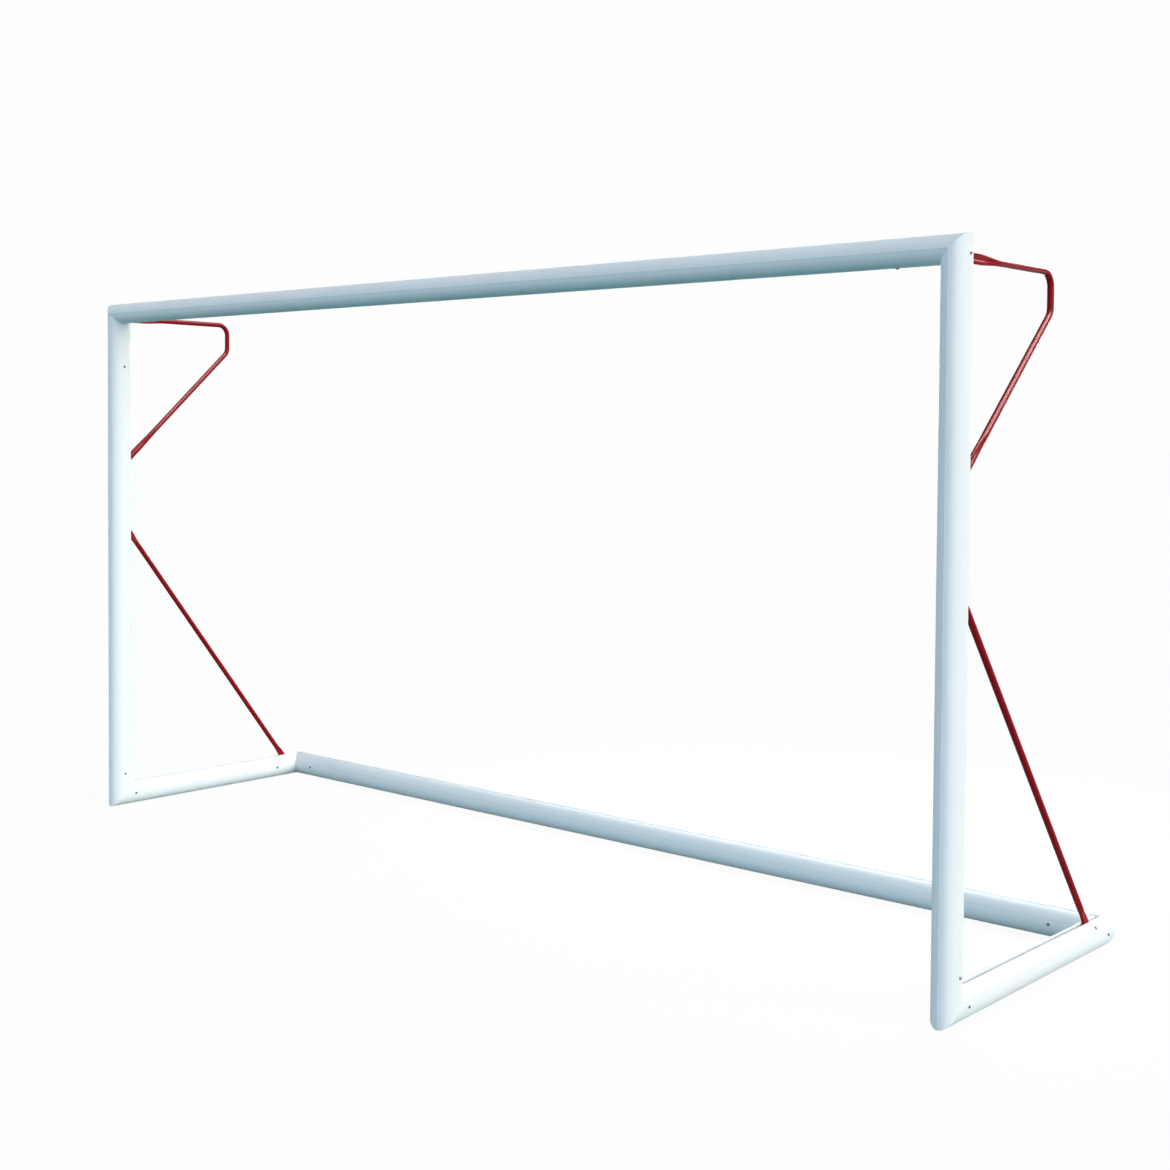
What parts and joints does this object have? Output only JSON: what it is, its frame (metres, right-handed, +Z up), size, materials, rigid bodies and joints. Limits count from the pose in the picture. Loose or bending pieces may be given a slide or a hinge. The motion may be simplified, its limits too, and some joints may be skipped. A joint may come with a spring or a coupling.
{
  "type": "football goal",
  "caption": "Free-standing football goal frame of mitred oval tube with a net groove, bent side brackets and straight side struts, without its net.",
  "frame": {"origin": "on the ground, at the middle of the goal's width and depth", "axes": "+X along the crossbar to the right as seen by a player facing the goal, +Y from the mouth to the back, +Z up"},
  "size_m": [4.0054, 1.0199, 2.0999],
  "materials": {
    "white_powder_coat": "white satin powder coat on extruded aluminium",
    "red_powder_coat": "deep red gloss powder coat on steel tube",
    "cast_aluminium": "plain cast",
    "zinc_plated_steel": "zinc plated"
  },
  "bodies": {
    "root": {"crossbar": "white_powder_coat", "left_bracket_low_bolt": "zinc_plated_steel", "left_bracket_top_bolt": "zinc_plated_steel", "left_crossbar_pin_screw": "zinc_plated_steel", "left_crossbar_screw": "zinc_plated_steel", "left_front_connector": "cast_aluminium", "left_ground_bar": "white_powder_coat", "left_ground_bar_front_inner_screw": "zinc_plated_steel", "left_ground_bar_front_outer_screw": "zinc_plated_steel", "left_ground_bar_rear_screw": "zinc_plated_steel", "left_net_bracket": "red_powder_coat", "left_post": "white_powder_coat", "left_post_foot_inner_screw": "zinc_plated_steel", "left_post_foot_outer_screw": "zinc_plated_steel", "left_post_top_screw": "zinc_plated_steel", "left_rear_bar_pin_screw": "zinc_plated_steel", "left_rear_bar_screw": "zinc_plated_steel", "left_rear_connector": "cast_aluminium", "left_strut": "red_powder_coat", "left_strut_foot_bolt": "zinc_plated_steel", "left_strut_top_bolt": "zinc_plated_steel", "left_top_connector": "cast_aluminium", "rear_ground_bar": "white_powder_coat", "right_bracket_low_bolt": "zinc_plated_steel", "right_bracket_top_bolt": "zinc_plated_steel", "right_crossbar_pin_screw": "zinc_plated_steel", "right_crossbar_screw": "zinc_plated_steel", "right_front_connector": "cast_aluminium", "right_ground_bar": "white_powder_coat", "right_ground_bar_front_inner_screw": "zinc_plated_steel", "right_ground_bar_front_outer_screw": "zinc_plated_steel", "right_ground_bar_rear_screw": "zinc_plated_steel", "right_net_bracket": "red_powder_coat", "right_post": "white_powder_coat", "right_post_foot_inner_screw": "zinc_plated_steel", "right_post_foot_outer_screw": "zinc_plated_steel", "right_post_top_screw": "zinc_plated_steel", "right_rear_bar_pin_screw": "zinc_plated_steel", "right_rear_bar_screw": "zinc_plated_steel", "right_rear_connector": "cast_aluminium", "right_strut": "red_powder_coat", "right_strut_foot_bolt": "zinc_plated_steel", "right_strut_top_bolt": "zinc_plated_steel", "right_top_connector": "cast_aluminium"}
  },
  "joints": []
}
